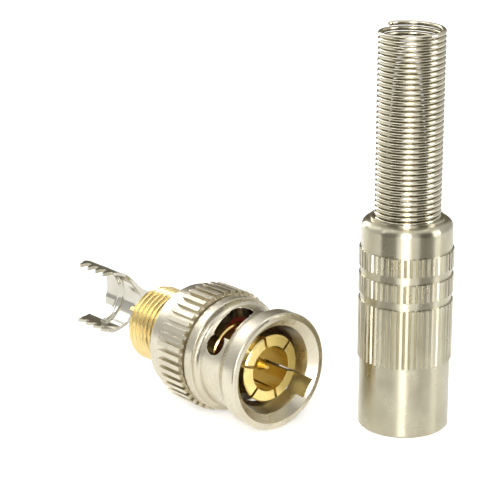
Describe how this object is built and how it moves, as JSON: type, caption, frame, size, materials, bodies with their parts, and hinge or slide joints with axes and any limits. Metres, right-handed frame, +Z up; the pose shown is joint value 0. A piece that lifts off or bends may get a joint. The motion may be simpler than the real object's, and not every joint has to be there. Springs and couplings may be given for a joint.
{
  "type": "coaxial bayonet cable plug",
  "caption": "Coaxial bayonet plug for soldering, with a knurled turning sleeve, a toothed cable clamp and a separate screw-on shell with a spring strain relief.",
  "frame": {"origin": "centre of the plug's mating face, on the plug's axis", "axes": "+X out of the mating face along the plug's axis, +Z up from the surface that the plug lies on and the shell stands on"},
  "size_m": [0.0513, 0.0261, 0.0476],
  "materials": {
    "nickel_plate": "polished nickel plate on turned brass",
    "gold_plate": "polished gold plate on beryllium copper",
    "red_rubber": "matt silicone rubber",
    "spring_steel": "bright spring steel",
    "white_plastic": "white fluoropolymer",
    "nickel_sheet": "nickel plated brass sheet",
    "nickel_shell": "satin nickel plate on turned brass",
    "nickel_wire": "nickel plated steel wire"
  },
  "bodies": {
    "plug": {"outer_contact": "gold_plate", "centre_pin": "gold_plate", "threaded_body": "gold_plate", "face_gasket": "red_rubber", "wave_washer": "spring_steel", "front_insulator": "white_plastic", "rear_insulator": "white_plastic", "cable_clamp": "nickel_sheet", "shell_sleeve": "nickel_shell", "strain_relief_spring": "nickel_wire"},
    "slider": {"thrust_washer": "spring_steel"},
    "coupling": {"coupling_sleeve": "nickel_plate", "retaining_ring": "spring_steel"}
  },
  "joints": [
    {"name": "coupling_travel", "type": "slide", "parent": "plug", "child": "slider", "axis": [1, 0, 0], "range_m": [0, 0.0006], "stiffness_N_per_m": 15000, "springref_m": -0.0004, "deforming": ["wave_washer"]},
    {"name": "coupling_turn", "type": "hinge", "parent": "slider", "child": "coupling", "pos_m": [0, 0, 0], "axis": [1, 0, 0], "continuous": true}
  ]
}
